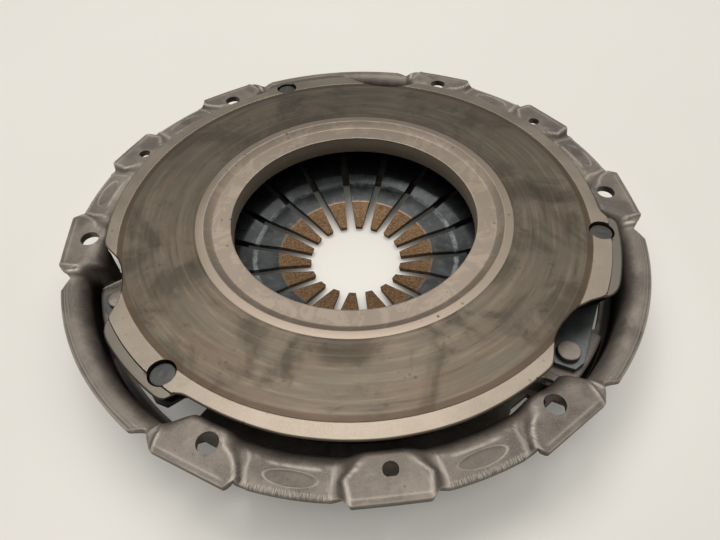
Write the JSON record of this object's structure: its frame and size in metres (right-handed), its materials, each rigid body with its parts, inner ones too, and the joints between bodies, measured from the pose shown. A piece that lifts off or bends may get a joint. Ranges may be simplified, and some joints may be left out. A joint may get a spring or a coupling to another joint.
{
  "type": "clutch pressure plate",
  "caption": "Diaphragm-spring clutch cover assembly: pressed steel cover, cast pressure plate on drive straps, slotted diaphragm spring with radial fingers.",
  "frame": {"origin": "centre of the bolt circle, on the bolting face of the cover that meets the flywheel", "axes": "+Z along the clutch axis towards the flywheel, so the friction face is up and the spring fingers are lowest; -Y points to a dowel hole"},
  "size_m": [0.2922, 0.2912, 0.0408],
  "materials": {
    "cover_steel": "pressed steel, dull with light surface rust",
    "plate_iron": "machined cast iron, worn and stained",
    "spring_steel": "hardened spring steel, blued dark grey",
    "ring_wire": "drawn steel wire",
    "spacer_rivet_steel": "cold-headed steel",
    "strap_steel": "blued spring steel strip",
    "strap_rivet_steel": "cold-headed steel"
  },
  "bodies": {
    "cover_assembly": {"cover": "cover_steel", "diaphragm_spring": "spring_steel", "lower_fulcrum_ring": "ring_wire", "spacer_rivet_1": "spacer_rivet_steel", "spacer_rivet_2": "spacer_rivet_steel", "spacer_rivet_3": "spacer_rivet_steel", "spacer_rivet_4": "spacer_rivet_steel", "spacer_rivet_5": "spacer_rivet_steel", "spacer_rivet_6": "spacer_rivet_steel", "spacer_rivet_7": "spacer_rivet_steel", "spacer_rivet_8": "spacer_rivet_steel", "spacer_rivet_9": "spacer_rivet_steel", "strap_1_leaf_1": "strap_steel", "strap_1_leaf_2": "strap_steel", "strap_1_leaf_3": "strap_steel", "strap_2_leaf_1": "strap_steel", "strap_2_leaf_2": "strap_steel", "strap_2_leaf_3": "strap_steel", "strap_3_leaf_1": "strap_steel", "strap_3_leaf_2": "strap_steel", "strap_3_leaf_3": "strap_steel", "strap_rivet_cover_1": "strap_rivet_steel", "strap_rivet_cover_2": "strap_rivet_steel", "strap_rivet_cover_3": "strap_rivet_steel", "upper_fulcrum_ring": "ring_wire"},
    "plate": {"pressure_plate": "plate_iron", "strap_rivet_plate_1": "strap_rivet_steel", "strap_rivet_plate_2": "strap_rivet_steel", "strap_rivet_plate_3": "strap_rivet_steel"}
  },
  "joints": [
    {"name": "plate_travel", "type": "slide", "parent": "cover_assembly", "child": "plate", "axis": [0, 0, 1], "range_m": [-0.0036, 0], "stiffness_N_per_m": 20000, "springref_m": 0.004, "deforming": ["diaphragm_spring", "strap_1_leaf_1", "strap_1_leaf_2", "strap_1_leaf_3", "strap_2_leaf_1", "strap_2_leaf_2", "strap_2_leaf_3", "strap_3_leaf_1", "strap_3_leaf_2", "strap_3_leaf_3"]}
  ]
}
